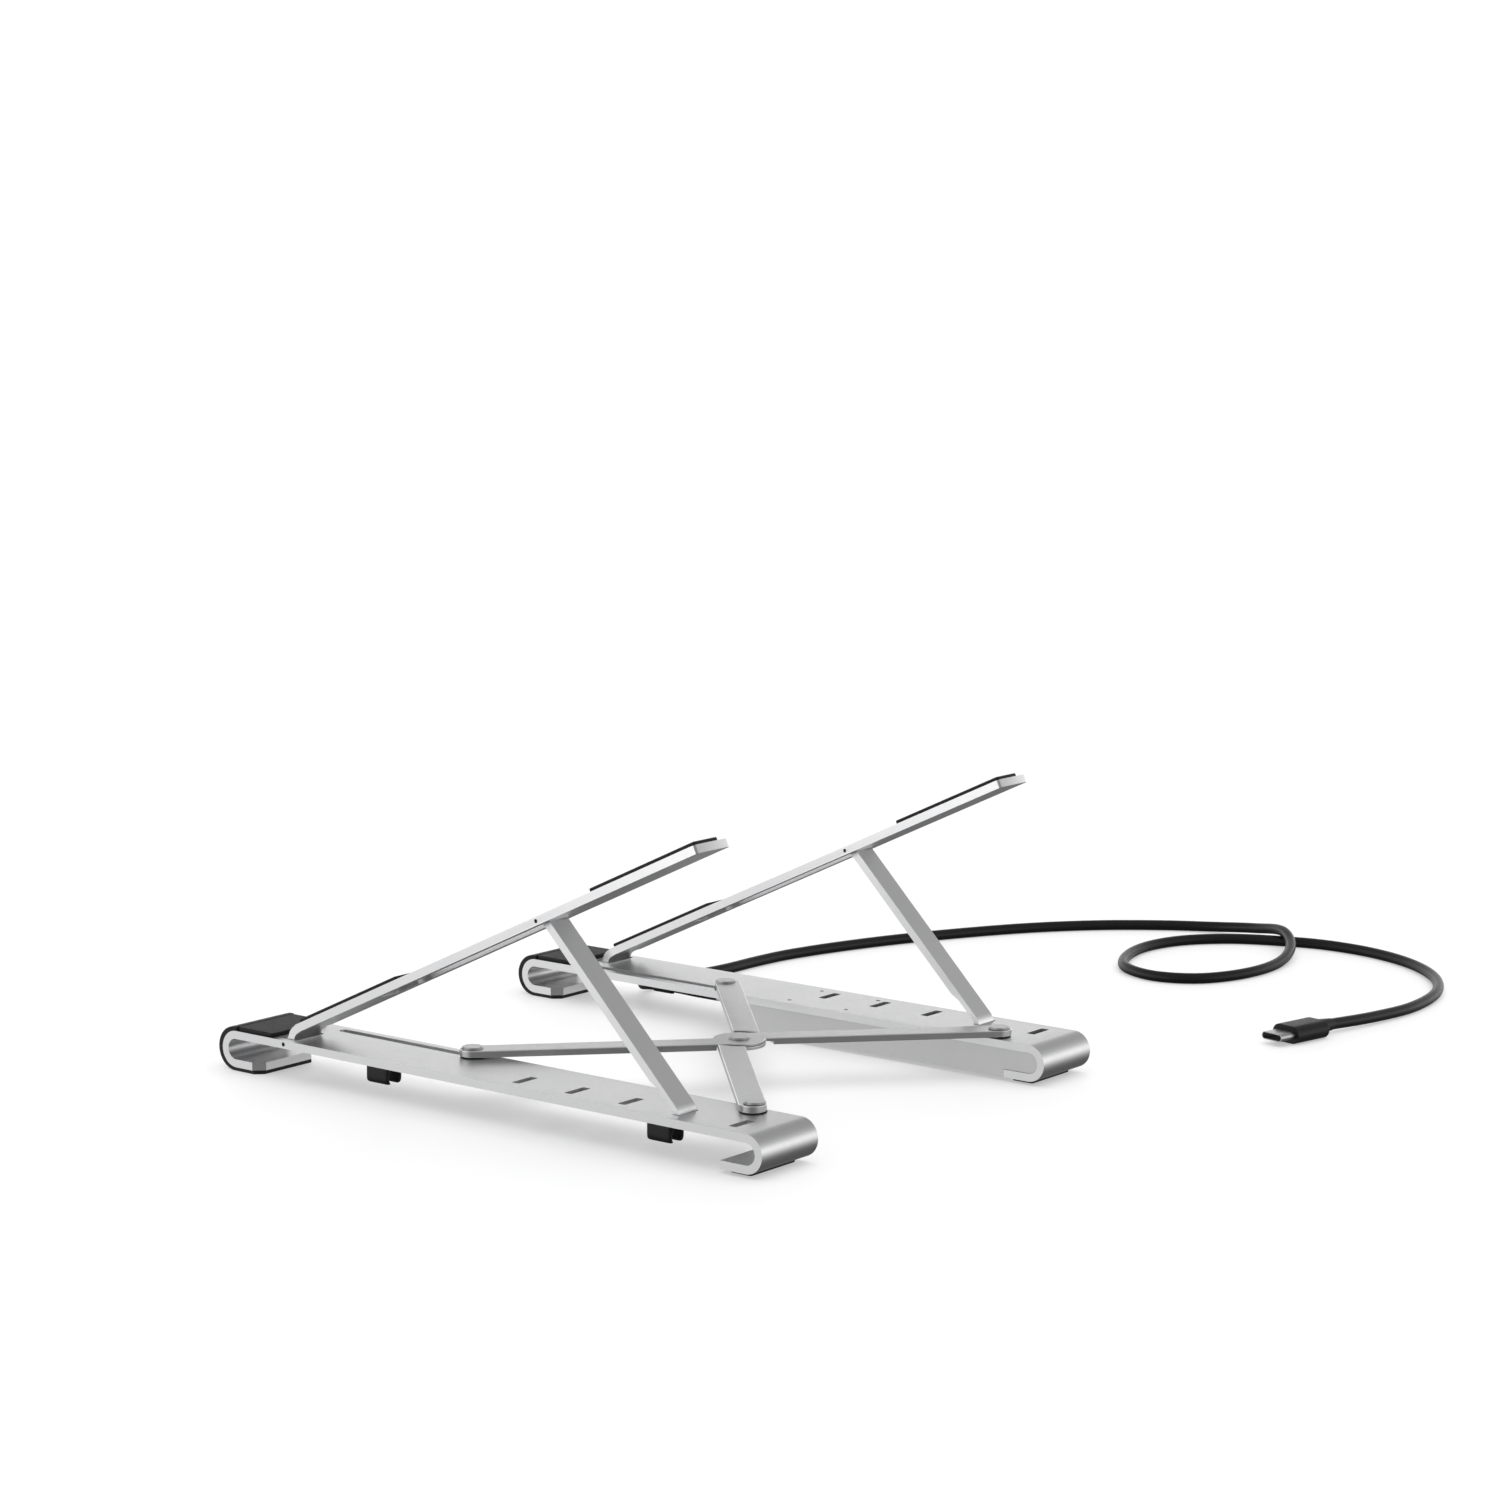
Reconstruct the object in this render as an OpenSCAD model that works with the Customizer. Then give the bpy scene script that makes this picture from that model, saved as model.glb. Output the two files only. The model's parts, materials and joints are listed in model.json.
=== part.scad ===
// Folding laptop stand: two rails joined by a scissor, two tilting arms on
// struts, and a port hub with its own lead under the left rail.
// X is the user's right, Y runs from the user to the rear, Z is up, in mm.

/* [Rails] */
// Width of one rail strip
rail_w = 25.5; // [24:0.5:27]
// Thickness of the rail strip
rail_t = 2.5; // [2.3:0.1:2.7]
// Height of the rail's top face above the table
rail_top = 12.6; // [12.5:0.1:13]
// Distance from the middle plane to a rail's outer edge, stand opened
rail_out = 82; // [82:0.5:84]
// Distance from the middle to the rail's rear bend
rail_rear = 106; // [106:0.5:107]
// Thickness of the rubber feet under the bends
foot_t = 1.2; // [1:0.1:1.4]
// Flat length of the lips under the bends
lip_len = 9; // [8:0.5:10]

/* [Slots] */
// Distance between the strut slots
slot_pitch = 20; // [19:0.5:21]
// Length of a strut slot across the rail
slot_len = 8.8; // [8.6:0.1:9.2]
// Width of a strut slot along the rail
slot_w = 2.8; // [2.7:0.1:3]
// Place of the first strut slot along the rail
slot_first = 12.3; // [12:0.1:12.6]

/* [Arms and struts] */
// Slope of the arms above the rails, in degrees
arm_tilt = 25.2; // [25:0.1:25.6]
// Width of an arm
arm_w = 15; // [14.6:0.1:15.2]
// Thickness of an arm and of the upper strut
arm_t = 2.5; // [2.4:0.1:2.6]
// Width of a strut
strut_w = 8; // [7.6:0.1:8.1]

/* [Scissor] */
// Sideways distance of the scissor pivots from the middle plane
pivot_x = 60.6; // [60:0.2:61]
// Width of a scissor bar
bar_w = 8; // [7.6:0.1:8.2]
// Thickness of a scissor bar
bar_t = 2.05; // [2:0.05:2.1]
// Sideways jog of each bar half at the centre
bar_jog = 3; // [2.8:0.1:3.1]

/* [Lead] */
// Diameter of the lead
lead_d = 3.7; // [3.4:0.1:3.8]

/* [Hidden] */
$fn = 64;
GAP = 0.1;
FIT = 0.05;

// Rail
bend_r = (rail_top - foot_t) / 2;
bend_z = foot_t + bend_r;
rail_in = rail_out - rail_w;
rail_mid = rail_out - rail_w / 2;
rail_under = rail_top - rail_t;
rail_front = -104;
rear_c = rail_rear - bend_r;
front_c = rail_front + bend_r;
rear_lip_end = rear_c - lip_len;
front_lip_end = front_c + lip_len + 1;
lip_chamfer = 3;
slot_x = rail_out - 8.4;
slots = [for (i = [0 : 4]) slot_first + i * slot_pitch];
strut_slot = slots[3];

// Arm hinge and arm
hinge_y = -77.8;
hinge_z = 11.4;
hinge_pin_r = 0.65;
barrel_r = 1.7;
tongue_w = 11.6;
window_w = tongue_w + 0.8;
window_front = hinge_y - 4.3;
window_rear = hinge_y + 3.2;
curl_r = 5.4;
curl_y = hinge_y + 4.95;
curl_z = hinge_z + 0.9;
arm_len = 172.8;
arm_start = 1.5;
tip_r = 1.5;
arc_steps = 12;
pocket_w = strut_w + 0.4;
// Distances along the arm from the end of its curl
strut_pin_s = 108.2;
pocket_front_s = 36.1;
pocket_rear_s = 110.4;
notch_s = 48;
notch_r = 5.2;
pad_t = 1.3;
pad_w = 10.5;
front_pad_s = [1.5, 45.8];
rear_pad_s = [129, 171];

// Strut
strut_pin_r = 0.6;
strut_pin_y = arm_point(strut_pin_s, -arm_t / 2)[0];
strut_pin_z = arm_point(strut_pin_s, -arm_t / 2)[1];
foot_thick = 1.7;
foot_depth = 1.5;
foot_bend = 5;
foot_chamfer = 1;
foot_rear = strut_slot + foot_thick / 2;
bend_c_y = foot_rear - foot_bend;
bend_c_z = rail_top - 1;
bend_dy = bend_c_y - strut_pin_y;
bend_dz = bend_c_z - strut_pin_z;
bend_dist = norm([bend_dy, bend_dz]);
strut_drop = -atan2(bend_dz, bend_dy) - asin((foot_bend - arm_t / 2) / bend_dist);
strut_len = sqrt(bend_dist * bend_dist - pow(foot_bend - arm_t / 2, 2));
strut_step_s = 57;
strut_ramp = 3;

// Scissor
rear_pivot_y = 86.7;
front_pivot_y = -20;
centre_y = (rear_pivot_y + front_pivot_y) / 2;
half_len = norm([pivot_x, rear_pivot_y - centre_y]);
bar_angle = atan2(rear_pivot_y - centre_y, pivot_x);
fold_max = 39.5;
bar_z = rail_top + 0.35;
bar_top = bar_z + bar_t;
lap_z = bar_z + bar_t / 2;
boss_r = 8;
lap_r = 10.4;
end_jog = 0.6;
rivet_r = 1.5;
slide_pin_r = 1.4;
head_r = 3.3;
head_step = 0.3;
flange_r = 2.4;
flange_t = 0.9;
washer_r = 3.6;
washer_t = 0.25;
slider_r = 3;
slider_t = 0.9;
slide_w = 2 * slide_pin_r + 0.2;
slide_front = rear_pivot_y - 2 * half_len * sin(bar_angle + fold_max) - slide_w / 2 - 0.2;
slide_rear = front_pivot_y + slide_w / 2 + 0.2;

// Hub
hub_out = rail_out - 0.2;
hub_in = rail_in + 0.1;
hub_front = -13;
hub_top = rail_under - 0.05;
hub_bottom = foot_t;
hub_wall = 1.2;
panel_t = 1.4;
hub_rear = rear_c;
hub_rear_r = bend_r - rail_t - 0.1;
board_t = 0.8;
board_z = hub_bottom + hub_wall + 0.2;
port_z = board_z + board_t;
screw_y = [6, 28.4];
screw_x = [60.7, 77.8];
screw_r = 0.7;
usb_a_y = [46, 64];
hdmi_y = 24;
usb_c_y = 6;
card_y = 78;

// Clips, on the line of the lead
clip_x = 75.8;
clip_w = 6.6;
clip_len = 9;
clip_bottom = 4;
lead_z = 6;
clip_bore_r = lead_d / 2 + 0.15;

// Lead: the route from the strain relief to the plug, laid on the table
relief_len = 14;
lead_floor = lead_d / 2;
hump = lead_d + 0.25;
route = [
    [-75.8, hub_front - relief_len, lead_z], [-75.8, -34, 5.8], [-75.8, -44, 5.8],
    [-75.8, -52, lead_z], [-75.8, -60, 5.9], [-76.8, -66, 5.2], [-80.5, -71, 3.9],
    [-87, -74, 2.5], [-96, -74.5, lead_floor], [-110, -72.5, lead_floor],
    [-125, -70.7, lead_floor], [-142, -70.4, lead_floor], [-160, -68.5, lead_floor],
    [-186, -61.5, lead_floor], [-214, -50.5, lead_floor], [-247, -33, lead_floor],
    [-270, -15, lead_floor], [-286, 4, lead_floor], [-295, 22, lead_floor + 0.3],
    [-295.5, 38, lead_floor + 0.45 * hump], [-288, 54, lead_floor + hump],
    [-275, 65, lead_floor + 0.45 * hump], [-256, 71.5, lead_floor + 0.1],
    [-234, 72, lead_floor], [-216, 64.5, lead_floor], [-209, 50, lead_floor],
    [-215, 34.5, lead_floor], [-230, 25, lead_floor], [-249, 21, lead_floor],
    [-267, 25, lead_floor], [-281, 37, lead_floor], [-289, 53.5, lead_floor],
    [-293, 70, lead_floor], [-291, 90, lead_floor], [-282, 110, lead_floor],
    [-266, 127, lead_floor], [-245, 138, lead_floor], [-221, 142, lead_floor],
    [-198, 140, lead_floor + 0.4], [-178, 136, lead_floor + 1]
];
sub_rings = 2;
sides = 8;
plug_len = 22;
plug_w = 11;
plug_h = 5.7;
plug_end = route[len(route) - 1];
plug_turn = -11.3;

ALU = [0.76, 0.77, 0.78];
STEEL = [0.6, 0.61, 0.62];
BLACK = [0.06, 0.06, 0.065];

// A YZ outline extruded from x0 to x1
module along_x(x0, x1) {
    translate([x0, 0, 0])
        rotate([90, 0, 90])
            linear_extrude(x1 - x0)
                children();
}

// Mirrors what is drawn for the right side when side is -1
module on_side(side) {
    mirror([side < 0 ? 1 : 0, 0, 0])
        children();
}

module x_cylinder(x0, x1, r) {
    translate([x0, 0, 0])
        rotate([0, 90, 0])
            cylinder(r = r, h = x1 - x0);
}

module round_rect(l, w, r) {
    square([l - 2 * r, w], center = true);
    square([l, w - 2 * r], center = true);
    for (x = [-1, 1], y = [-1, 1])
        translate([x * (l / 2 - r), y * (w / 2 - r)])
            circle(r);
}

// Half ring open towards -x
module half_ring(r_out, r_in) {
    difference() {
        circle(r_out);
        circle(r_in);
        translate([-2 * r_out, -r_out])
            square([2 * r_out, 2 * r_out]);
    }
}

module rail_outline() {
    translate([front_c, rail_under])
        square([rear_c - front_c, rail_t]);
    translate([rear_c, bend_z])
        half_ring(bend_r, bend_r - rail_t);
    translate([front_c, bend_z])
        mirror([1, 0])
            half_ring(bend_r, bend_r - rail_t);
    translate([rear_lip_end, foot_t])
        square([rear_c - rear_lip_end, rail_t]);
    translate([front_c, foot_t])
        square([front_lip_end - front_c, rail_t]);
}

module rail_body(side) {
    deep = rail_t + 2;
    on_side(side)
        difference() {
            along_x(rail_in, rail_out)
                rail_outline();
            for (y = slots)
                translate([slot_x, y, rail_under - 1])
                    linear_extrude(deep)
                        round_rect(slot_len, slot_w, 0.6);
            translate([pivot_x, (slide_front + slide_rear) / 2, rail_under - 1])
                linear_extrude(deep)
                    round_rect(slide_w, slide_rear - slide_front, slide_w / 2 - 0.01);
            translate([slot_x, (window_front + window_rear) / 2, rail_under - 1])
                linear_extrude(deep)
                    round_rect(window_w, window_rear - window_front, 0.8);
            translate([0, hinge_y, hinge_z])
                x_cylinder(slot_x - window_w / 2 - 3, rail_out + 1, hinge_pin_r);
            translate([pivot_x, rear_pivot_y, rail_under - 1])
                cylinder(r = rivet_r, h = deep);
            translate([pivot_x, rear_pivot_y, rail_under - 1])
                cylinder(r = flange_r + FIT, h = flange_t + 1);
            for (x = [rail_in, rail_out])
                translate([x, front_lip_end, foot_t - 1])
                    rotate(45)
                        translate([-lip_chamfer / sqrt(2), -lip_chamfer / sqrt(2), 0])
                            cube([sqrt(2) * lip_chamfer, sqrt(2) * lip_chamfer, rail_t + 1.5]);
        }
}

module rail_left() {
    color(ALU)
        difference() {
            rail_body(-1);
            for (x = screw_x, y = screw_y)
                translate([-x, y, rail_under - 1])
                    cylinder(r = screw_r, h = rail_t + 2);
        }
}

module rail_right() {
    color(ALU)
        rail_body(1);
}

// Points in the side view: round the curl, and along the arm from the curl's end
function curl_point(r, a) = [curl_y + r * cos(a), curl_z + r * sin(a)];
function arm_point(s, n) = curl_point(curl_r + n, 90 + arm_tilt)
    + s * [cos(arm_tilt), sin(arm_tilt)];
function curl_angle(i) = 180 - i * (90 - arm_tilt) / arc_steps;

// Arm side view: a barrel, a curl and a long straight bar
module arm_outline() {
    translate([hinge_y, hinge_z])
        circle(barrel_r);
    polygon(concat(
        [[hinge_y + 1.3, hinge_z - 1], [curl_y - curl_r + arm_t, hinge_z + 0.2]],
        [for (i = [0 : arc_steps]) curl_point(curl_r - arm_t, curl_angle(i))],
        [arm_point(arm_len, -arm_t), arm_point(arm_len, 0)],
        [for (i = [arc_steps : -1 : 0]) curl_point(curl_r, curl_angle(i))],
        [[curl_y - curl_r, hinge_z - 1]]
    ));
}

// What is cut off each rear corner of an arm, in plan
module tip_corner() {
    corner = [arm_w / 2, arm_len];
    past = 1.15 * tip_r;
    proud = 0.04 * tip_r;
    polygon(concat(
        [corner + [1, -past], corner + [1, 1], corner + [-past, 1], corner + [-past, proud]],
        [for (a = [60, 30]) corner + tip_r * [cos(a) - 1, sin(a) - 1]],
        [corner + [proud, -past]]
    ));
}

module arm_frame(side) {
    on_side(side)
        translate([slot_x, curl_y, curl_z])
            rotate([arm_tilt, 0, 0])
                translate([0, 0, curl_r])
                    children();
}

module arm_body(side) {
    shoulder = (arm_w - tongue_w) / 2;
    difference() {
        on_side(side)
            along_x(slot_x - arm_w / 2, slot_x + arm_w / 2)
                arm_outline();
        for (x = [-arm_w / 2 - 1, tongue_w / 2])
            arm_frame(side)
                translate([x, arm_start - 30, -20])
                    cube([shoulder + 1, 30, 30]);
        for (turn = [0, 1])
            arm_frame(side)
                mirror([turn, 0, 0])
                    translate([0, 0, -arm_t - 1])
                        linear_extrude(arm_t + 2)
                            tip_corner();
        arm_frame(side)
            translate([0, (pocket_front_s + pocket_rear_s) / 2, -arm_t - 1])
                linear_extrude(arm_t + 2)
                    round_rect(pocket_w, pocket_rear_s - pocket_front_s, 1);
        arm_frame(side)
            translate([0, notch_s, -arm_t - 1])
                cylinder(r = notch_r, h = arm_t / 2 + 1);
        on_side(side)
            translate([0, hinge_y, hinge_z])
                x_cylinder(slot_x - arm_w, slot_x + arm_w, hinge_pin_r + FIT);
        on_side(side)
            translate([0, strut_pin_y, strut_pin_z])
                x_cylinder(slot_x - arm_w, slot_x + arm_w, strut_pin_r);
    }
}

module arm_left() {
    color(ALU)
        arm_body(-1);
}

module arm_right() {
    color(ALU)
        arm_body(1);
}

// Points in the side view: along the strut from its pin, and round its foot's bend
function strut_point(s, n) = [strut_pin_y + s * cos(strut_drop) + n * sin(strut_drop),
    strut_pin_z - s * sin(strut_drop) + n * cos(strut_drop)];
function bend_point(r, i) = [bend_c_y + r * cos(i * (90 - strut_drop) / arc_steps),
    bend_c_z + r * sin(i * (90 - strut_drop) / arc_steps)];

// Strut side view: the strip, its thinner lower end and the bent-down foot
module strut_outline() {
    half_t = arm_t / 2;
    foot_z = rail_top - foot_depth;
    translate([strut_pin_y, strut_pin_z])
        circle(half_t);
    polygon(concat(
        [strut_point(0, -half_t), strut_point(strut_step_s, -half_t),
         strut_point(strut_step_s + strut_ramp, half_t - foot_thick)],
        [for (i = [arc_steps : -1 : 0]) bend_point(foot_bend - foot_thick, i)],
        [[foot_rear - foot_thick, foot_z + foot_chamfer],
         [foot_rear - foot_thick + foot_chamfer, foot_z], [foot_rear, foot_z]],
        [for (i = [0 : arc_steps]) bend_point(foot_bend, i)],
        [strut_point(0, half_t)]
    ));
}

module strut_body(side) {
    on_side(side)
        difference() {
            along_x(slot_x - strut_w / 2, slot_x + strut_w / 2)
                strut_outline();
            translate([0, strut_pin_y, strut_pin_z])
                x_cylinder(slot_x - strut_w, slot_x + strut_w, strut_pin_r + FIT);
        }
}

module strut_left() {
    color(ALU)
        strut_body(-1);
}

module strut_right() {
    color(ALU)
        strut_body(1);
}

// Plan of one bar half: from the centre to its end, jogged to one side
module bar_half() {
    polygon([[0, bar_jog - bar_w / 2], [half_len, end_jog - bar_w / 2],
             [half_len, end_jog + bar_w / 2], [0, bar_jog + bar_w / 2]]);
    translate([half_len, end_jog])
        circle(bar_w / 2);
}

module bar_plan() {
    bar_half();
    rotate(180)
        bar_half();
    circle(boss_r);
}

// A scissor bar about the centre pivot; its lap is cut below or above mid height
module scissor_bar(upper) {
    cut_z = upper ? bar_z - 1 : lap_z - GAP / 2;
    cut_h = upper ? bar_t / 2 + 1 + GAP / 2 : bar_t;
    difference() {
        translate([0, 0, bar_z])
            linear_extrude(bar_t)
                bar_plan();
        translate([0, 0, cut_z])
            cylinder(r = lap_r, h = cut_h);
        for (x = [-half_len, 0, half_len])
            translate([x, 0, bar_z - 1])
                cylinder(r = rivet_r + FIT, h = bar_t + 2);
    }
}

module scissor_bar_a() {
    color(ALU)
        translate([0, centre_y, 0])
            rotate(-bar_angle)
                scissor_bar(true);
}

module scissor_bar_b() {
    color(ALU)
        translate([0, centre_y, 0])
            mirror([1, 0, 0])
                rotate(-bar_angle)
                    scissor_bar(false);
}

module arm_hinge_pin(side) {
    color(STEEL)
        on_side(side)
            translate([0, hinge_y, hinge_z])
                x_cylinder(slot_x - window_w / 2 - 2.8, rail_out - 0.8, hinge_pin_r);
}

module strut_pin(side) {
    color(STEEL)
        on_side(side)
            translate([0, strut_pin_y, strut_pin_z])
                x_cylinder(slot_x - arm_w / 2 + 0.5, slot_x + arm_w / 2 - 0.5, strut_pin_r);
}

// Two-step round head that starts at height z
module rivet_head(z) {
    translate([0, 0, z])
        cylinder(r = head_r, h = head_step);
    translate([0, 0, z + head_step])
        cylinder(r = head_r - 0.35, h = head_step);
}

module shank(r, z0, z1) {
    translate([0, 0, z0])
        cylinder(r = r, h = z1 - z0);
}

module rear_rivet(side) {
    color(STEEL)
        translate([side * pivot_x, rear_pivot_y, 0]) {
            rivet_head(bar_top + GAP);
            shank(rivet_r, rail_under, bar_top + GAP + head_step);
            shank(flange_r, rail_under, rail_under + flange_t);
        }
}

// Rides in the rail's slot, with a button under the rail
module slider_rivet(side) {
    button_z = rail_under - GAP - slider_t;
    color(STEEL)
        translate([side * pivot_x, front_pivot_y, 0]) {
            rivet_head(bar_top);
            shank(rivet_r, rail_top + GAP, bar_top + head_step);
            shank(slide_pin_r, button_z, bar_z);
            shank(slider_r, button_z, button_z + slider_t);
        }
}

module centre_rivet() {
    color(STEEL)
        translate([0, centre_y, 0]) {
            rivet_head(bar_top);
            shank(rivet_r, bar_z - GAP - head_step, bar_top + head_step);
            shank(head_r, bar_z - GAP - head_step, bar_z - GAP);
        }
}

module pivot_washer(side, y) {
    color(BLACK)
        translate([side * pivot_x, y, y > 0 ? rail_top : bar_z - washer_t])
            difference() {
                cylinder(r = washer_r, h = washer_t);
                translate([0, 0, -1])
                    cylinder(r = rivet_r + FIT, h = washer_t + 2);
            }
}

// Silicone that wraps the front bend and the underside of the front lip
module front_wrap_pad(side) {
    thick = 2;
    color(BLACK)
        on_side(side)
            difference() {
                along_x(rail_in + 0.4, rail_out - 0.4)
                    difference() {
                        union() {
                            translate([front_c - 0.8, bend_z])
                                circle(bend_r + foot_t);
                            translate([front_c - 0.8, 0])
                                square([front_lip_end - front_c + 0.5, foot_t]);
                            translate([front_c - 0.8, rail_top])
                                square([0.8, foot_t]);
                        }
                        translate([front_c, bend_z])
                            circle(bend_r);
                        translate([front_c, foot_t])
                            square([4 * bend_r, 2 * bend_r + 2 * foot_t]);
                        translate([front_c - 1, foot_t])
                            square([thick, 2 * bend_r]);
                    }
                for (x = [rail_in, rail_out])
                    translate([x, front_lip_end, -1])
                        rotate(45)
                            translate([-lip_chamfer / sqrt(2), -lip_chamfer / sqrt(2), 0])
                                cube([sqrt(2) * lip_chamfer, sqrt(2) * lip_chamfer, foot_t + 1.1]);
            }
}

module front_top_pad(side) {
    pad_front = front_c + 0.2;
    pad_rear = window_front - 1.2;
    color(BLACK)
        on_side(side)
            translate([rail_mid, (pad_front + pad_rear) / 2, rail_top])
                linear_extrude(foot_t)
                    round_rect(rail_w - 1.6, pad_rear - pad_front, 1);
}

module rear_foot(side) {
    color(BLACK)
        on_side(side)
            translate([rail_mid, rear_c - 3.8, 0])
                linear_extrude(foot_t)
                    round_rect(rail_w - 5, 7.6, 1);
}

module arm_pad(side, ends) {
    color(BLACK)
        arm_frame(side)
            translate([0, (ends[0] + ends[1]) / 2, 0])
                linear_extrude(pad_t)
                    round_rect(pad_w, ends[1] - ends[0], 0.6);
}

// Clip with a channel along the rail, open downwards
module cable_clip(side, y0, tail) {
    mid_z = (clip_bottom + rail_under) / 2;
    color(BLACK)
        on_side(side) {
            difference() {
                translate([clip_x, y0 + clip_len, mid_z])
                    rotate([90, 0, 0])
                        linear_extrude(clip_len)
                            round_rect(clip_w, rail_under - clip_bottom, 1.4);
                translate([clip_x, y0 - 1, lead_z])
                    rotate([-90, 0, 0])
                        cylinder(r = clip_bore_r, h = clip_len + 2);
                translate([clip_x - 1.2, y0 - 1, clip_bottom - 1])
                    cube([2.4, clip_len + 2, lead_z - clip_bottom + 1]);
            }
            translate([clip_x - clip_w / 2, y0, rail_under - 1])
                cube([clip_w, clip_len + tail, 1]);
        }
}

// Hub side view, filling the rear bend above its lip
module hub_outline(inset) {
    z0 = hub_bottom + inset;
    z1 = hub_top - inset;
    translate([hub_front + inset, z0])
        square([rear_lip_end - 0.1 - hub_front - 2 * inset, z1 - z0]);
    z2 = foot_t + rail_t + 0.1 + inset;
    translate([rear_lip_end - 0.1 - 2 * inset - 1, z2])
        square([hub_rear - rear_lip_end + 1.1 + 2 * inset, z1 - z2]);
    translate([hub_rear, (z1 + z2) / 2])
        circle((z1 - z2) / 2);
}

module hub_housing() {
    color(ALU)
        difference() {
            along_x(-hub_out + panel_t + GAP, -hub_in)
                hub_outline(0);
            along_x(-hub_out, -hub_in - hub_wall)
                hub_outline(hub_wall);
            for (x = screw_x, y = screw_y)
                translate([-x, y, hub_top - 2])
                    cylinder(r = screw_r, h = 3);
            translate([-clip_x, hub_front - 1, lead_z])
                rotate([-90, 0, 0])
                    cylinder(r = 2.2, h = hub_wall + 2);
        }
}

module hub_port_panel() {
    color(BLACK)
        difference() {
            along_x(-hub_out, -hub_out + panel_t)
                hub_outline(0);
            for (y = usb_a_y)
                port_cut(y, 13.3, 5.5);
            port_cut(hdmi_y, 15.3, 5.5);
            port_cut(usb_c_y, 9.2, 3.4);
            port_cut(card_y, 11.4, 1.8);
        }
}

module port_cut(y, w, h) {
    translate([-hub_out - 1, y, port_z + h / 2 - 0.05])
        rotate([90, 0, 90])
            linear_extrude(panel_t + 2)
                round_rect(w, h, 0.5);
}

// Metal port shell open at the panel, with a tongue inside
module port_shell(y, w, h, depth, wall, tongue_h) {
    x0 = -hub_out + 0.2;
    translate([x0, y, port_z + h / 2])
        rotate([90, 0, 90])
            difference() {
                linear_extrude(depth)
                    round_rect(w, h, 0.4);
                translate([0, 0, -1])
                    linear_extrude(depth)
                        round_rect(w - 2 * wall, h - 2 * wall, 0.3);
            }
    translate([x0 + 1, y - w / 2 + 1.2, port_z + h / 2 - tongue_h / 2])
        cube([depth - 1.5, w - 2.4, tongue_h]);
}

module hub_circuit_board() {
    color([0.05, 0.25, 0.12])
        translate([-hub_out + panel_t + 0.4, hub_front + 2, board_z])
            cube([hub_out - hub_in - panel_t - hub_wall - 0.8, 99, board_t]);
    color([0.08, 0.08, 0.08])
        for (y = [12, 50])
            translate([-hub_in - hub_wall - 7.5, y, board_z + board_t])
                cube([6, 6, 0.9]);
}

module hub_usb_a_ports() {
    color(STEEL)
        for (y = usb_a_y)
            port_shell(y, 13.1, 5.3, 14, 0.35, 1.6);
}

module hub_hdmi_port() {
    color(STEEL)
        port_shell(hdmi_y, 15.1, 5.3, 11, 0.35, 1.4);
}

module hub_usb_c_port() {
    color(STEEL)
        port_shell(usb_c_y, 9, 3.2, 7.5, 0.3, 0.7);
}

module hub_card_slot() {
    color(STEEL)
        port_shell(card_y, 11.2, 1.6, 12, 0.25, 0.3);
}

module hub_screws() {
    color(STEEL)
        for (x = screw_x, y = screw_y)
            translate([-x, y, hub_top - 1.1])
                cylinder(r = screw_r, h = rail_top - 0.25 - hub_top + 1.1);
}

module cable_strain_relief() {
    neck = lead_d / 2 + 0.35;
    color(BLACK)
        translate([-clip_x, hub_front, lead_z])
            rotate([90, 0, 0]) {
                cylinder(r = 3.1, h = 2);
                translate([0, 0, 2])
                    cylinder(r1 = 2.7, r2 = neck, h = relief_len - 2);
                translate([0, 0, -hub_wall - 0.8])
                    cylinder(r = 2.15, h = hub_wall + 1);
            }
}

// Smooth curve through four route points
function curve_point(a, b, c, d, t) =
    0.5 * (2 * b + (c - a) * t + (2 * a - 5 * b + 4 * c - d) * t * t
    + (3 * b - a - 3 * c + d) * t * t * t);
function route_at(i) = route[max(0, min(len(route) - 1, i))];
lead_path = [
    for (i = [0 : len(route) - 2], j = [0 : sub_rings - 1])
        curve_point(route_at(i - 1), route_at(i), route_at(i + 1), route_at(i + 2),
                    j / sub_rings),
    route[len(route) - 1]
];

function unit(v) = v / norm(v);
function heading(p, i) = unit(p[min(i + 1, len(p) - 1)] - p[max(i - 1, 0)]);
function ring(p, i, r) =
    let (t = heading(p, i), s = unit(cross(t, [0, 0, 1])), u = cross(s, t))
    [for (k = [0 : sides - 1])
        p[i] + r * (cos(360 * (k + 0.5) / sides) * s + sin(360 * (k + 0.5) / sides) * u)];

module tube(p, r) {
    n = len(p);
    points = [for (i = [0 : n - 1]) each ring(p, i, r)];
    walls = [
        for (i = [0 : n - 2], k = [0 : sides - 1])
            [i * sides + k, i * sides + (k + 1) % sides,
             (i + 1) * sides + (k + 1) % sides, (i + 1) * sides + k]
    ];
    caps = [[for (k = [sides - 1 : -1 : 0]) k], [for (k = [0 : sides - 1]) (n - 1) * sides + k]];
    polyhedron(points, concat(walls, caps));
}

module cable() {
    color(BLACK)
        tube(lead_path, lead_d / 2);
}

module plug_frame() {
    translate(plug_end)
        rotate([0, 0, plug_turn])
            rotate([0, 90, 0])
                rotate([0, 0, 90])
                    children();
}

module cable_plug_body() {
    neck_len = 7;
    color(BLACK)
        plug_frame() {
            cylinder(r1 = lead_d / 2 + 0.1, r2 = 2.6, h = neck_len);
            translate([0, 0, neck_len])
                linear_extrude(plug_len - neck_len)
                    round_rect(plug_w, plug_h, plug_h / 2 - 0.01);
        }
}

module cable_plug_shell() {
    color(STEEL)
        plug_frame()
            translate([0, 0, plug_len])
                difference() {
                    linear_extrude(6.6)
                        round_rect(8.3, 2.5, 1.2);
                    translate([0, 0, 0.6])
                        linear_extrude(7)
                            round_rect(7.7, 1.9, 0.9);
                }
}

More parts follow.
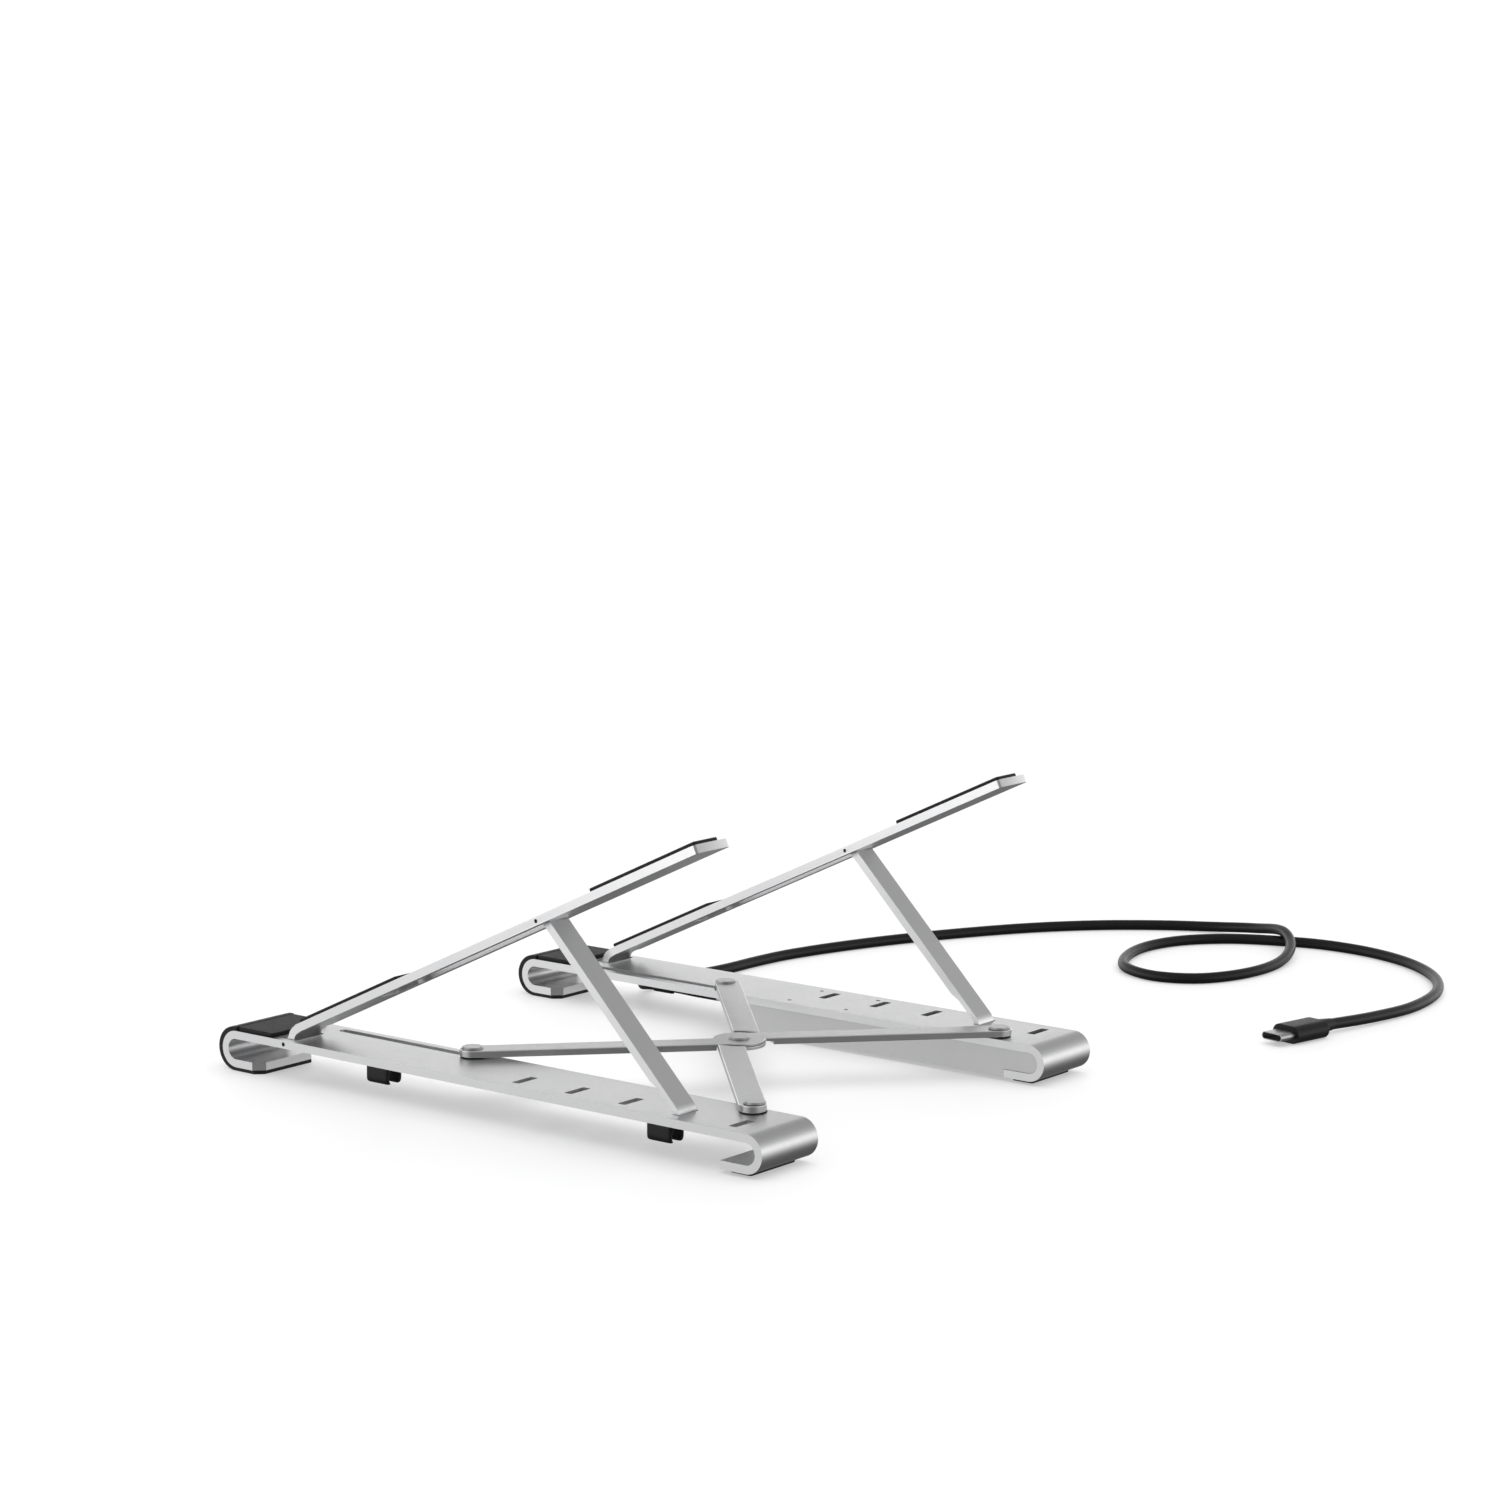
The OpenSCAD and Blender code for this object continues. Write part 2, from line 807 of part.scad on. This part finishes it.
rail_left();
rail_right();
arm_left();
arm_right();
strut_left();
strut_right();
scissor_bar_a();
scissor_bar_b();
arm_hinge_pin(-1);  // arm_hinge_pin_left
arm_hinge_pin(1);  // arm_hinge_pin_right
strut_pin(-1);  // strut_pin_left
strut_pin(1);  // strut_pin_right
rear_rivet(-1);  // rear_rivet_left
rear_rivet(1);  // rear_rivet_right
slider_rivet(-1);  // slider_rivet_left
slider_rivet(1);  // slider_rivet_right
centre_rivet();
pivot_washer(-1, rear_pivot_y);  // rear_washer_left
pivot_washer(1, rear_pivot_y);  // rear_washer_right
pivot_washer(-1, front_pivot_y);  // slider_washer_left
pivot_washer(1, front_pivot_y);  // slider_washer_right
front_wrap_pad(-1);  // front_wrap_pad_left
front_wrap_pad(1);  // front_wrap_pad_right
front_top_pad(-1);  // front_top_pad_left
front_top_pad(1);  // front_top_pad_right
rear_foot(-1);  // rear_foot_left
rear_foot(1);  // rear_foot_right
arm_pad(-1, front_pad_s);  // arm_front_pad_left
arm_pad(1, front_pad_s);  // arm_front_pad_right
arm_pad(-1, rear_pad_s);  // arm_rear_pad_left
arm_pad(1, rear_pad_s);  // arm_rear_pad_right
cable_clip(-1, -61, 0);  // cable_clip_left
cable_clip(1, -46.3, 0);  // cable_clip_right_front
cable_clip(1, 62.3, 10);  // cable_clip_right_rear
hub_housing();
hub_port_panel();
hub_circuit_board();
hub_usb_a_ports();
hub_hdmi_port();
hub_usb_c_port();
hub_card_slot();
hub_screws();
cable_strain_relief();
cable();
cable_plug_body();
cable_plug_shell();
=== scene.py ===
"""Looks of a folding laptop stand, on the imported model's frame.

Metres. +X is the user's right, +Y the rear, +Z up, and the table is at z = 0.
"""

import json
import math

import bmesh
import bpy
from mathutils import Matrix, Vector

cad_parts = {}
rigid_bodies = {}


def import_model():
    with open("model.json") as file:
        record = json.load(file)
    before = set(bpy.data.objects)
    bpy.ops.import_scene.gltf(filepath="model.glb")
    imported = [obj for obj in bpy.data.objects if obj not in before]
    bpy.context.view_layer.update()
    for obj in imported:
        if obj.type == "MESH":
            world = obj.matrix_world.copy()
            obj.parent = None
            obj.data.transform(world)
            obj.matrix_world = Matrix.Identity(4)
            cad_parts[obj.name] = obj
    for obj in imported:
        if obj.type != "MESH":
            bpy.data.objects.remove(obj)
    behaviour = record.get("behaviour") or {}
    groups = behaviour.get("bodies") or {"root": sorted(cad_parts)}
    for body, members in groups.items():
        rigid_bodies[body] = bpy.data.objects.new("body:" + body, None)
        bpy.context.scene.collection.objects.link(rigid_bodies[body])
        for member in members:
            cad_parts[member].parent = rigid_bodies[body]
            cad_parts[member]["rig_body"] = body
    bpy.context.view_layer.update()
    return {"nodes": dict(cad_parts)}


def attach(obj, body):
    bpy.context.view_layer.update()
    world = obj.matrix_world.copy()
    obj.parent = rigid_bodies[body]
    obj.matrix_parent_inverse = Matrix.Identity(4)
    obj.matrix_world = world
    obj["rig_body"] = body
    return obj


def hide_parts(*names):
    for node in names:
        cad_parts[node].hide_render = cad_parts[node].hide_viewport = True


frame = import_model()
MM = 0.001
scene = bpy.context.scene

# ---------------------------------------------------------------- camera
CAMERA_AT = Vector((0.8741, 0.7212, 0.2723))
CAMERA_AIM = Vector((0.1346, 0.1423, 0.1293))
CAMERA_ROLL = 0.296
CAMERA_LENS = 90.563
SENSOR = 36.0


def make_camera():
    data = bpy.data.cameras.new("camera")
    data.lens = CAMERA_LENS
    data.sensor_width = SENSOR
    data.clip_start = 0.05
    data.clip_end = 50.0
    camera = bpy.data.objects.new("camera", data)
    turn = (CAMERA_AIM - CAMERA_AT).to_track_quat("-Z", "Y").to_matrix()
    roll = Matrix.Rotation(math.radians(CAMERA_ROLL), 3, "Z")
    camera.matrix_world = Matrix.Translation(CAMERA_AT) @ (turn @ roll).to_4x4()
    scene.collection.objects.link(camera)
    scene.camera = camera


make_camera()


# ------------------------------------------------------------- materials
# The middle part of a noise's values, where nearly all of them lie
NOISE_LOW = 0.3
NOISE_HIGH = 0.7
# Stretch of tool lines that run along Y
TOOL_LINES = (1.0, 0.05, 1.0)
FINE_TOOL_LINES = (1.0, 0.03, 1.0)
TRACK_LINES = (1.0, 0.2, 1.0)
# Height of the grain on metal
METAL_GRAIN = 0.004 * MM


def tinted(shade, tints):
    """A grey level with a slight tint."""
    return tuple(shade * tint for tint in tints)


class Shader:
    """A Principled material with short helpers for its nodes."""

    def __init__(self, name, **sockets):
        self.material = bpy.data.materials.new(name)
        self.material.use_nodes = True
        self.tree = self.material.node_tree
        self.surface = self.tree.nodes["Principled BSDF"]
        for socket, value in sockets.items():
            self.surface.inputs[socket.replace("_", " ")].default_value = value
        self.place = self.node("ShaderNodeTexCoord").outputs["Object"]

    def node(self, kind, **values):
        made = self.tree.nodes.new(kind)
        for key, value in values.items():
            setattr(made, key, value)
        return made

    def link(self, a, b):
        self.tree.links.new(a, b)

    def noise(self, scale, detail=3.0, stretch=(1.0, 1.0, 1.0)):
        """Noise in object space, with scale in waves per metre.

        stretch is how many times finer it runs along each axis.
        """
        mapping = self.node("ShaderNodeMapping")
        mapping.inputs["Scale"].default_value = stretch
        self.link(self.place, mapping.inputs["Vector"])
        made = self.node("ShaderNodeTexNoise")
        made.inputs["Scale"].default_value = scale
        made.inputs["Detail"].default_value = detail
        self.link(mapping.outputs["Vector"], made.inputs["Vector"])
        return made.outputs["Fac"]

    def ramp(self, value, low, high, low_at=NOISE_LOW, high_at=NOISE_HIGH):
        """Maps a value to a colour between low and high."""
        made = self.node("ShaderNodeValToRGB")
        made.color_ramp.elements[0].position = low_at
        made.color_ramp.elements[0].color = (*low, 1.0)
        made.color_ramp.elements[1].position = high_at
        made.color_ramp.elements[1].color = (*high, 1.0)
        self.link(value, made.inputs["Fac"])
        return made.outputs["Color"]

    def spread(self, value, low, high):
        """Maps a value from the middle of a noise to the range low to high."""
        made = self.node("ShaderNodeMapRange")
        made.inputs["From Min"].default_value = NOISE_LOW
        made.inputs["From Max"].default_value = NOISE_HIGH
        made.inputs["To Min"].default_value = low
        made.inputs["To Max"].default_value = high
        self.link(value, made.inputs["Value"])
        return made.outputs["Result"]

    def colour(self, value):
        self.link(value, self.surface.inputs["Base Color"])

    def roughness(self, value):
        self.link(value, self.surface.inputs["Roughness"])

    def bump(self, height, strength, depth):
        made = self.node("ShaderNodeBump")
        made.inputs["Strength"].default_value = strength
        made.inputs["Distance"].default_value = depth
        self.link(height, made.inputs["Height"])
        if self.surface.inputs["Normal"].is_linked:
            before = self.surface.inputs["Normal"].links[0].from_socket
            self.link(before, made.inputs["Normal"])
        self.link(made.outputs["Normal"], self.surface.inputs["Normal"])


def blasted_aluminium(name, shade, rough):
    """Bead-blasted and anodised: an even satin with a very fine grain."""
    made = Shader(name, Metallic=1.0)
    low = tinted(shade, (0.965, 0.97, 0.98))
    high = tinted(shade, (1.0, 1.0, 1.005))
    made.colour(made.ramp(made.noise(60.0, 4.0), low, high))
    made.roughness(made.spread(made.noise(900.0, 4.0), rough - 0.03, rough + 0.04))
    made.bump(made.noise(5200.0, 2.0), 0.1, METAL_GRAIN)
    return made.material


def cut_aluminium(name, shade, rough):
    """Bare, diamond-cut edge: brighter, with fine tool lines along it."""
    made = Shader(name, Metallic=1.0)
    low = tinted(shade, (0.95, 0.955, 0.96))
    high = tinted(shade, (1.0, 1.0, 1.0))
    made.colour(made.ramp(made.noise(300.0), low, high))
    made.roughness(made.spread(made.noise(1500.0, 2.0, TOOL_LINES), rough - 0.04, rough + 0.05))
    made.bump(made.noise(3800.0, 1.0, FINE_TOOL_LINES), 0.06, METAL_GRAIN)
    return made.material


def turned_steel(name, shade, rough):
    """Turned steel, a little uneven in shade and gloss."""
    made = Shader(name, Metallic=1.0)
    low = tinted(shade, (0.93, 0.935, 0.94))
    high = tinted(shade, (1.0, 1.0, 1.0))
    made.colour(made.ramp(made.noise(250.0), low, high))
    made.roughness(made.spread(made.noise(1800.0), rough - 0.05, rough + 0.06))
    made.bump(made.noise(3000.0, 2.0), 0.08, METAL_GRAIN)
    return made.material


def soft_black(name, shade, rough, grain, depth, gloss, sheen=0.0, speck=1.6):
    """Black silicone or moulded plastic: a fine matt grain with faint dust in it.

    grain is in waves per metre and depth is its height; speck is how much paler the dust is.
    """
    made = Shader(
        name, Metallic=0.0, Sheen_Weight=sheen, Sheen_Roughness=0.5, Specular_IOR_Level=gloss
    )
    low = tinted(shade, (1.0, 1.0, 1.04))
    high = tinted(speck, low)
    made.colour(made.ramp(made.noise(grain * 0.2, 5.0), low, high, 0.35, 0.8))
    made.roughness(made.spread(made.noise(grain * 0.4), rough - 0.07, rough + 0.07))
    made.bump(made.noise(grain), 0.35, depth)
    return made.material


def circuit_green(name):
    """Lacquered circuit board with faint tracks."""
    made = Shader(name, Metallic=0.0, Coat_Weight=0.4, Coat_Roughness=0.2)
    tracks = made.noise(700.0, 2.0, TRACK_LINES)
    made.colour(made.ramp(tracks, (0.01, 0.07, 0.03), (0.03, 0.16, 0.07)))
    made.roughness(made.spread(made.noise(1200.0), 0.3, 0.45))
    made.bump(made.noise(1500.0, 1.0, TRACK_LINES), 0.3, 0.05 * MM)
    return made.material


ALUMINIUM = blasted_aluminium("blasted_aluminium", 0.66, 0.33)
ARM_METAL = blasted_aluminium("arm_aluminium", 0.70, 0.32)
BAR_METAL = blasted_aluminium("bar_aluminium", 0.5, 0.32)
# The hub's aluminium is the rails' finish made darker: painted shade for the hub's side, which
# lies in the scissor bar's shade.
HUB_SHADED_METAL = blasted_aluminium("hub_aluminium_painted_shade", 0.52, 0.36)
CUT_EDGE = cut_aluminium("cut_edge", 0.92, 0.33)
STEEL = turned_steel("turned_steel", 0.5, 0.34)
DARK_STEEL = turned_steel("dark_steel", 0.10, 0.4)
SILICONE = soft_black("black_silicone", 0.007, 0.6, 3500.0, 0.05 * MM, 0.25, sheen=0.04)
PLASTIC = soft_black("black_plastic", 0.006, 0.42, 2600.0, 0.03 * MM, 0.25)
JACKET = soft_black("lead_jacket", 0.005, 0.38, 4200.0, 0.02 * MM, 0.3, speck=1.3)
BOARD = circuit_green("circuit_board")

# ----------------------------------------------------------------- lead
LEAD_D = 3.7
FLOOR_Z = LEAD_D / 2
HUMP = LEAD_D + 0.25
HUB_FRONT = -13.0
RELIEF_LEN = 14.0
LEAD_Z = 6.0
ROUTE = [
    (-75.8, HUB_FRONT - RELIEF_LEN, LEAD_Z), (-75.8, -34, 5.8), (-75.8, -44, 5.8),
    (-75.8, -52, LEAD_Z), (-75.8, -60, 5.9), (-76.8, -66, 5.2), (-80.5, -71, 3.9),
    (-87, -74, 2.5), (-96, -74.5, FLOOR_Z), (-110, -72.5, FLOOR_Z),
    (-125, -70.7, FLOOR_Z), (-142, -70.4, FLOOR_Z), (-160, -68.5, FLOOR_Z),
    (-186, -61.5, FLOOR_Z), (-214, -50.5, FLOOR_Z), (-247, -33, FLOOR_Z),
    (-270, -15, FLOOR_Z), (-286, 4, FLOOR_Z), (-295, 22, FLOOR_Z + 0.3),
    (-295.5, 38, FLOOR_Z + 0.45 * HUMP), (-288, 54, FLOOR_Z + HUMP),
    (-275, 65, FLOOR_Z + 0.45 * HUMP), (-256, 71.5, FLOOR_Z + 0.1),
    (-234, 72, FLOOR_Z), (-216, 64.5, FLOOR_Z), (-209, 50, FLOOR_Z),
    (-215, 34.5, FLOOR_Z), (-230, 25, FLOOR_Z), (-249, 21, FLOOR_Z),
    (-267, 25, FLOOR_Z), (-281, 37, FLOOR_Z), (-289, 53.5, FLOOR_Z),
    (-293, 70, FLOOR_Z), (-291, 90, FLOOR_Z), (-282, 110, FLOOR_Z),
    (-266, 127, FLOOR_Z), (-245, 138, FLOOR_Z), (-221, 142, FLOOR_Z),
    (-198, 140, FLOOR_Z + 0.4), (-178, 136, FLOOR_Z + 1),
]
STEPS_PER_POINT = 6


def smooth_route(points, steps):
    """The curve through the route's points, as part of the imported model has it."""
    last = len(points) - 1
    path = []
    for i in range(last):
        a, b, c, d = (Vector(points[max(0, min(last, i + k))]) for k in (-1, 0, 1, 2))
        for j in range(steps):
            t = j / steps
            path.append(
                0.5 * (2 * b + (c - a) * t + (2 * a - 5 * b + 4 * c - d) * t ** 2
                       + (3 * b - a - 3 * c + d) * t ** 3)
            )
    path.append(Vector(points[-1]))
    return [point * MM for point in path]


def make_lead():
    path = smooth_route(ROUTE, STEPS_PER_POINT)
    curve = bpy.data.curves.new("lead", "CURVE")
    curve.dimensions = "3D"
    curve.bevel_depth = LEAD_D / 2 * MM
    curve.bevel_resolution = 6
    curve.use_fill_caps = True
    spline = curve.splines.new("POLY")
    spline.points.add(len(path) - 1)
    for point, at in zip(spline.points, path):
        point.co = (*at, 1.0)
    spline.use_smooth = True
    lead = bpy.data.objects.new("lead", curve)
    scene.collection.objects.link(lead)
    curve.materials.append(JACKET)
    length = sum((b - a).length for a, b in zip(path, path[1:]))
    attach(lead, "left_rail")
    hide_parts("cable")
    return lead, path, length


lead, lead_path, lead_length = make_lead()


# ------------------------------------------------------ detailed pieces
# Vertices closer than this are one, and faces within this angle are one flat face
WELD = 0.002 * MM
FLAT_ANGLE = 0.6
# Edges sharper than this angle are broken
SHARP_ANGLE = 30.0
# Width of a broken edge on each kind of piece, in millimetres
RAIL_EDGE = 0.22
ARM_EDGE = 0.18
HUB_EDGE = 0.3
PANEL_EDGE = 0.12
PIN_EDGE = 0.08
RIVET_EDGE = 0.07
PORT_EDGE = 0.05
WASHER_EDGE = 0.04
PAD_EDGE = 0.35
TOP_PAD_EDGE = 0.4
PLUG_EDGE = 0.3
RELIEF_EDGE = 0.2
SOFT_STEPS = 3
# Cell size of a moulded piece's skin, and how many rounds of smoothing it gets
SKIN_CELL = 0.3
SKIN_ROUNDS = 40


def clean_mesh(node, name):
    """The node's shape in one skin, with its flat faces joined up."""
    shape = bmesh.new()
    shape.from_mesh(frame["nodes"][node].data)
    bmesh.ops.remove_doubles(shape, verts=shape.verts, dist=WELD)
    bmesh.ops.dissolve_limit(
        shape, angle_limit=math.radians(FLAT_ANGLE), verts=shape.verts, edges=shape.edges
    )
    for face in shape.faces:
        face.smooth = True
    mesh = bpy.data.meshes.new(name)
    shape.to_mesh(mesh)
    shape.free()
    normals = mesh.attributes.get("custom_normal")
    if normals:
        mesh.attributes.remove(normals)
    return mesh


def skin_of(node, materials):
    """A piece that stands for the node, rides where it does, and takes its finish from slot."""
    mesh = clean_mesh(node, node + "_skin")
    for material in materials:
        mesh.materials.append(material)
    piece = bpy.data.objects.new(node + "_skin", mesh)
    scene.collection.objects.link(piece)
    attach(piece, frame["nodes"][node]["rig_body"])
    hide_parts(node)
    return piece


def refined(node, materials, width, segments=2):
    """A node's piece with its edges broken by width millimetres.

    materials is the main finish and, if there is one, the finish of the broken edges.
    """
    piece = skin_of(node, materials)
    bevel = piece.modifiers.new("broken_edges", "BEVEL")
    bevel.width = width * MM
    bevel.segments = segments
    bevel.limit_method = "ANGLE"
    bevel.angle_limit = math.radians(SHARP_ANGLE)
    bevel.miter_outer = "MITER_ARC"
    bevel.harden_normals = True
    bevel.use_clamp_overlap = True
    if len(materials) > 1:
        bevel.material = 1
    return piece


def moulded(node, materials):
    """A node's piece with its corners well rounded, as moulded plastic has them."""
    piece = skin_of(node, materials)
    skin = piece.modifiers.new("skin", "REMESH")
    skin.mode = "VOXEL"
    skin.voxel_size = SKIN_CELL * MM
    skin.use_smooth_shade = True
    soft = piece.modifiers.new("rounding", "SMOOTH")
    soft.factor = 0.5
    soft.iterations = SKIN_ROUNDS


for side in ("left", "right"):
    refined("rail_" + side, [ALUMINIUM, CUT_EDGE], RAIL_EDGE)
    refined("arm_" + side, [ARM_METAL, CUT_EDGE], ARM_EDGE)
    refined("strut_" + side, [ARM_METAL, CUT_EDGE], ARM_EDGE)
    refined("arm_hinge_pin_" + side, [DARK_STEEL], PIN_EDGE)
    refined("strut_pin_" + side, [DARK_STEEL], PIN_EDGE)
    refined("rear_rivet_" + side, [STEEL], RIVET_EDGE)
    refined("slider_rivet_" + side, [STEEL], RIVET_EDGE)
    refined("rear_washer_" + side, [PLASTIC], WASHER_EDGE)
    refined("slider_washer_" + side, [PLASTIC], WASHER_EDGE)
    refined("front_wrap_pad_" + side, [SILICONE], PAD_EDGE, SOFT_STEPS)
    refined("front_top_pad_" + side, [SILICONE], TOP_PAD_EDGE, SOFT_STEPS)
    refined("rear_foot_" + side, [SILICONE], PAD_EDGE, SOFT_STEPS)
    refined("arm_front_pad_" + side, [SILICONE], PAD_EDGE, SOFT_STEPS)
    refined("arm_rear_pad_" + side, [SILICONE], PAD_EDGE, SOFT_STEPS)
for bar in ("a", "b"):
    refined("scissor_bar_" + bar, [BAR_METAL, CUT_EDGE], RAIL_EDGE)
refined("centre_rivet", [STEEL], RIVET_EDGE)
for clip in ("cable_clip_left", "cable_clip_right_front", "cable_clip_right_rear"):
    moulded(clip, [PLASTIC])
# The hub's broken edges take the dark steel finish: a painted shade line standing in for the
# shaded gap between the hub and the rail.
refined("hub_housing", [HUB_SHADED_METAL, DARK_STEEL], HUB_EDGE)
refined("hub_port_panel", [PLASTIC], PANEL_EDGE)
refined("hub_circuit_board", [BOARD], PORT_EDGE)
for port in ("hub_usb_a_ports", "hub_hdmi_port", "hub_usb_c_port", "hub_card_slot"):
    refined(port, [STEEL], PORT_EDGE)
refined("hub_screws", [DARK_STEEL], PIN_EDGE)
refined("cable_strain_relief", [JACKET], RELIEF_EDGE, SOFT_STEPS)
plug_body = refined("cable_plug_body", [PLASTIC], PLUG_EDGE, SOFT_STEPS)
plug_shell = refined("cable_plug_shell", [STEEL], PIN_EDGE)


# ------------------------------------------------------ floor and light
FLOOR_REACH = 8.0
FLOOR_GLOW = 0.42


def make_floor():
    """A pale floor that glows faintly and doesn't show in reflections."""
    made = Shader("pale_floor", Metallic=0.0, Emission_Strength=FLOOR_GLOW)
    made.colour(made.ramp(made.noise(3.0, 2.0), (0.52, 0.52, 0.522), (0.53, 0.53, 0.532)))
    made.roughness(made.spread(made.noise(20.0), 0.5, 0.6))
    mesh = bpy.data.meshes.new("floor")
    signs = ((-1, -1), (1, -1), (1, 1), (-1, 1))
    corners = [(x * FLOOR_REACH, y * FLOOR_REACH, 0) for x, y in signs]
    mesh.from_pydata(corners, [], [(0, 1, 2, 3)])
    mesh.materials.append(made.material)
    floor = bpy.data.objects.new("floor", mesh)
    scene.collection.objects.link(floor)
    floor.visible_glossy = False
    floor.visible_shadow = False


# Grey level of the studio by height: (height from -1 below to 1 above, grey)
SKY = ((-1.0, 0.08), (-0.5, 0.12), (-0.32, 0.34), (-0.1, 1.05), (0.0, 1.5), (0.15, 1.55),
       (0.36, 0.7), (0.6, 0.4), (1.0, 0.4))
# Where a large pale panel and a dark one stand, seen from the object
BRIGHT_SIDE = (0.78, -0.61, -0.12)
DARK_SIDE = (0.75, 0.66, 0.0)


def make_world():
    """A studio that is white at the horizon, greyer above and below it, with its two panels."""
    world = bpy.data.worlds.new("studio")
    world.use_nodes = True
    tree = world.node_tree
    place = tree.nodes.new("ShaderNodeTexCoord")
    split = tree.nodes.new("ShaderNodeSeparateXYZ")
    tree.links.new(place.outputs["Generated"], split.inputs["Vector"])
    height = tree.nodes.new("ShaderNodeMapRange")
    height.inputs["From Min"].default_value = -1.0
    tree.links.new(split.outputs["Z"], height.inputs["Value"])
    grey = tree.nodes.new("ShaderNodeValToRGB")
    stops = grey.color_ramp.elements
    while len(stops) < len(SKY):
        stops.new(0.5)
    for stop, (at, level) in zip(stops, SKY):
        stop.position = (at + 1.0) / 2
        stop.color = (level, level, level, 1.0)
    tree.links.new(height.outputs["Result"], grey.inputs["Fac"])

    def side(towards, start, level):
        """A strength that goes from 1 to level around one direction."""
        nearness = tree.nodes.new("ShaderNodeVectorMath")
        nearness.operation = "DOT_PRODUCT"
        nearness.inputs[1].default_value = towards
        tree.links.new(place.outputs["Generated"], nearness.inputs[0])
        panel = tree.nodes.new("ShaderNodeMapRange")
        panel.interpolation_type = "SMOOTHSTEP"
        panel.inputs["From Min"].default_value = start
        panel.inputs["To Min"].default_value = 1.0
        panel.inputs["To Max"].default_value = level
        tree.links.new(nearness.outputs["Value"], panel.inputs["Value"])
        return panel.outputs["Result"]

    both = tree.nodes.new("ShaderNodeMath")
    both.operation = "MULTIPLY"
    tree.links.new(side(BRIGHT_SIDE, 0.7, 1.45), both.inputs[0])
    tree.links.new(side(DARK_SIDE, 0.6, 0.3), both.inputs[1])
    background = tree.nodes["Background"]
    tree.links.new(grey.outputs["Color"], background.inputs["Color"])
    tree.links.new(both.outputs["Value"], background.inputs["Strength"])
    scene.world = world


def make_sun(towards, strength, spread):
    """Even, soft light over the whole floor, which doesn't show in reflections."""
    data = bpy.data.lights.new("sky_panel", "SUN")
    data.energy = strength
    data.angle = math.radians(spread)
    sun = bpy.data.objects.new("sky_panel", data)
    sun.rotation_euler = Vector(towards).to_track_quat("-Z", "Y").to_euler()
    sun.visible_glossy = False
    scene.collection.objects.link(sun)


make_floor()
make_world()
make_sun(towards=(0.1, -0.15, -1.0), strength=2.1, spread=90.0)
scene.view_settings.view_transform = "Standard"
